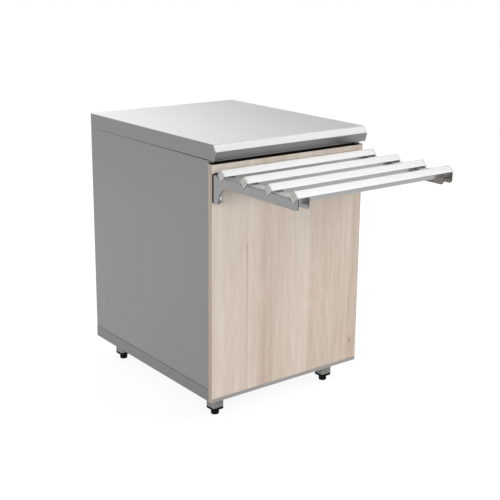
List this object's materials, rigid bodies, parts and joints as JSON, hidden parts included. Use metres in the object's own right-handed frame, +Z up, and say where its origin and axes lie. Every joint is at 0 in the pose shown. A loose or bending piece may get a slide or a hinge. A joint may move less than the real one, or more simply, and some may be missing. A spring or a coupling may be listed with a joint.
{
  "type": "neutral counter",
  "caption": "Neutral serving counter: steel cabinet open at the rear, faceted worktop, wood front panel, bracketed tray slide of square tubes on edge, loose shelf and screw-in levelling feet.",
  "frame": {"origin": "on the floor, under the middle of the overall box with the tray slide", "axes": "+Z up; the customer's side with the wood panel and the tray slide faces -Y, the open staff side faces +Y; +X to the right seen from the customer's side"},
  "size_m": [0.6, 1.1056, 0.87],
  "materials": {
    "stainless": "satin brushed",
    "painted_steel": "satin grey paint",
    "black_steel": "matt black paint",
    "zinc_steel": "bright zinc",
    "aluminium": "satin anodised",
    "ash_laminate": "matt pale ash laminate",
    "ash_edge": "matt edge band",
    "chipboard": "raw board",
    "black_plastic": "moulded, satin",
    "grey_plastic": "moulded, matt",
    "rubber": "matt"
  },
  "bodies": {
    "counter": {"worktop": "stainless", "worktop_core": "chipboard", "side_panel_left": "stainless", "side_panel_right": "stainless", "shelf_ledge_left": "stainless", "shelf_ledge_right": "stainless", "bottom_deck": "stainless", "base_rail_left": "painted_steel", "base_rail_right": "painted_steel", "base_rail_front": "painted_steel", "base_rail_rear": "painted_steel", "leg_beam_front": "painted_steel", "leg_beam_rear": "painted_steel", "front_rail": "black_steel", "top_rail_rear": "painted_steel", "front_panel": "ash_laminate", "panel_edge_left": "ash_edge", "panel_edge_right": "ash_edge", "panel_edge_top": "black_plastic", "panel_bottom_trim": "aluminium", "leg_front_left": "painted_steel", "leg_front_right": "painted_steel", "leg_rear_left": "painted_steel", "leg_rear_right": "painted_steel", "leg_plug_front_left": "black_plastic", "leg_plug_front_right": "black_plastic", "leg_plug_rear_left": "black_plastic", "leg_plug_rear_right": "black_plastic", "tray_rail_1": "stainless", "tray_rail_2": "stainless", "tray_rail_3": "stainless", "tray_rail_4": "stainless", "rail_cap_1_left": "grey_plastic", "rail_cap_1_right": "grey_plastic", "rail_cap_2_left": "grey_plastic", "rail_cap_2_right": "grey_plastic", "rail_cap_3_left": "grey_plastic", "rail_cap_3_right": "grey_plastic", "rail_cap_4_left": "grey_plastic", "rail_cap_4_right": "grey_plastic", "tray_bracket_left": "stainless", "tray_bracket_right": "stainless", "bracket_pad_left": "rubber", "bracket_pad_right": "rubber", "bracket_bolt_left_low": "zinc_steel", "bracket_bolt_left_high": "zinc_steel", "bracket_bolt_right_low": "zinc_steel", "bracket_bolt_right_high": "zinc_steel"},
    "shelf": {"middle_shelf": "stainless"},
    "foot_front_left": {"foot_pad_front_left": "black_plastic", "foot_spindle_front_left": "zinc_steel"},
    "foot_front_right": {"foot_pad_front_right": "black_plastic", "foot_spindle_front_right": "zinc_steel"},
    "foot_rear_left": {"foot_pad_rear_left": "black_plastic", "foot_spindle_rear_left": "zinc_steel"},
    "foot_rear_right": {"foot_pad_rear_right": "black_plastic", "foot_spindle_rear_right": "zinc_steel"}
  },
  "joints": [
    {"name": "shelf_slide", "type": "slide", "parent": "counter", "child": "shelf", "axis": [0, 1, 0], "range_m": [0, 0.32]},
    {"name": "foot_front_left_screw", "type": "slide", "parent": "counter", "child": "foot_front_left", "axis": [0, 0, -1], "range_m": [0, 0.02]},
    {"name": "foot_front_right_screw", "type": "slide", "parent": "counter", "child": "foot_front_right", "axis": [0, 0, -1], "range_m": [0, 0.02]},
    {"name": "foot_rear_left_screw", "type": "slide", "parent": "counter", "child": "foot_rear_left", "axis": [0, 0, -1], "range_m": [0, 0.02]},
    {"name": "foot_rear_right_screw", "type": "slide", "parent": "counter", "child": "foot_rear_right", "axis": [0, 0, -1], "range_m": [0, 0.02]}
  ]
}
